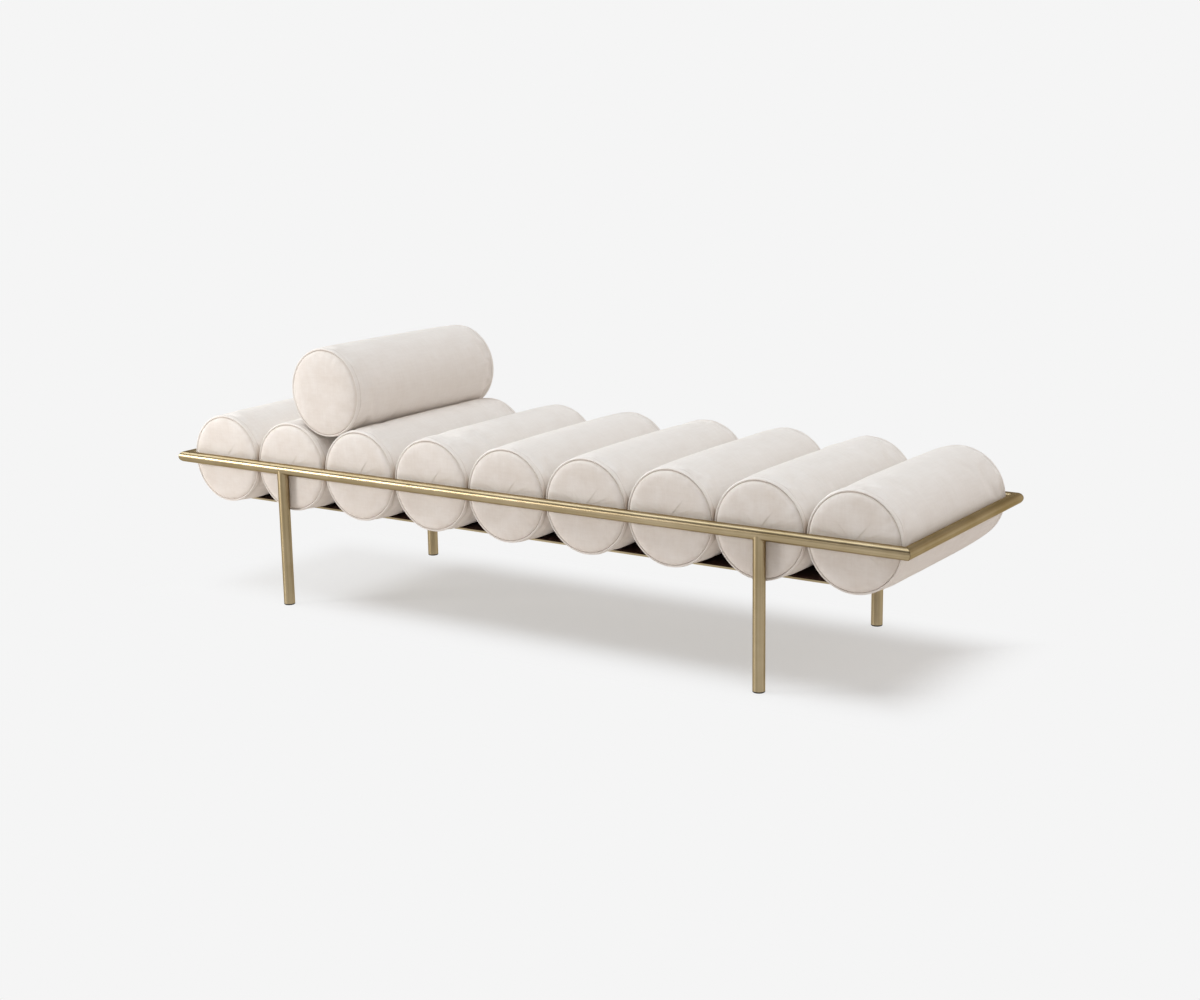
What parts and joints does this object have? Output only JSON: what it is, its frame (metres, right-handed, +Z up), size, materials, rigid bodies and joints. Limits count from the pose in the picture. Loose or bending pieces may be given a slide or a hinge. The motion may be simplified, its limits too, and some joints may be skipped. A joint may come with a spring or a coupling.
{
  "type": "backless divan",
  "caption": "Low backless divan: upholstered cylindrical bolsters side by side in a rectangular frame of round brass tube on straight legs, with a loose neck roll.",
  "frame": {"origin": "on the floor, at the middle of the footprint", "axes": "+X along the divan towards the end far from the neck roll, +Y from the front to the back, +Z up"},
  "size_m": [1.8572, 0.5506, 0.5863],
  "materials": {
    "brass_tube": "satin",
    "brass_sheet": "satin",
    "bolt_brass": "satin",
    "plain_steel": "satin",
    "glide_nylon": "matte",
    "black_felt": "matte",
    "linen": "matte",
    "foam": "matte",
    "timber": "matte"
  },
  "bodies": {
    "frame": {"rail_front": "brass_tube", "rail_back": "brass_tube", "rail_left": "brass_tube", "rail_right": "brass_tube", "leg_front_left": "brass_tube", "leg_front_right": "brass_tube", "leg_back_left": "brass_tube", "leg_back_right": "brass_tube", "glide_front_left": "glide_nylon", "glide_front_right": "glide_nylon", "glide_back_left": "glide_nylon", "glide_back_right": "glide_nylon", "joiner_front_left": "plain_steel", "joiner_front_right": "plain_steel", "joiner_back_left": "plain_steel", "joiner_back_right": "plain_steel", "joiner_screws": "plain_steel", "rail_pins_front": "plain_steel", "rail_pins_back": "plain_steel", "deck_plate": "brass_sheet", "deck_lining": "black_felt", "deck_bolts": "bolt_brass", "batten_inserts": "plain_steel", "bolster_cover_1": "linen", "bolster_cover_2": "linen", "bolster_cover_3": "linen", "bolster_cover_4": "linen", "bolster_cover_5": "linen", "bolster_cover_6": "linen", "bolster_cover_7": "linen", "bolster_cover_8": "linen", "bolster_cover_9": "linen", "bolster_foam_1": "foam", "bolster_foam_2": "foam", "bolster_foam_3": "foam", "bolster_foam_4": "foam", "bolster_foam_5": "foam", "bolster_foam_6": "foam", "bolster_foam_7": "foam", "bolster_foam_8": "foam", "bolster_foam_9": "foam", "bolster_former_1": "timber", "bolster_former_2": "timber", "bolster_former_3": "timber", "bolster_former_4": "timber", "bolster_former_5": "timber", "bolster_former_6": "timber", "bolster_former_7": "timber", "bolster_former_8": "timber", "bolster_former_9": "timber"},
    "neck_roll": {"neck_roll_cover": "linen", "neck_roll_filling": "foam"}
  },
  "joints": [
    {"name": "neck_roll_lift", "type": "slide", "parent": "frame", "child": "neck_roll", "axis": [0, 0, 1], "range_m": [0, 0.3]}
  ]
}
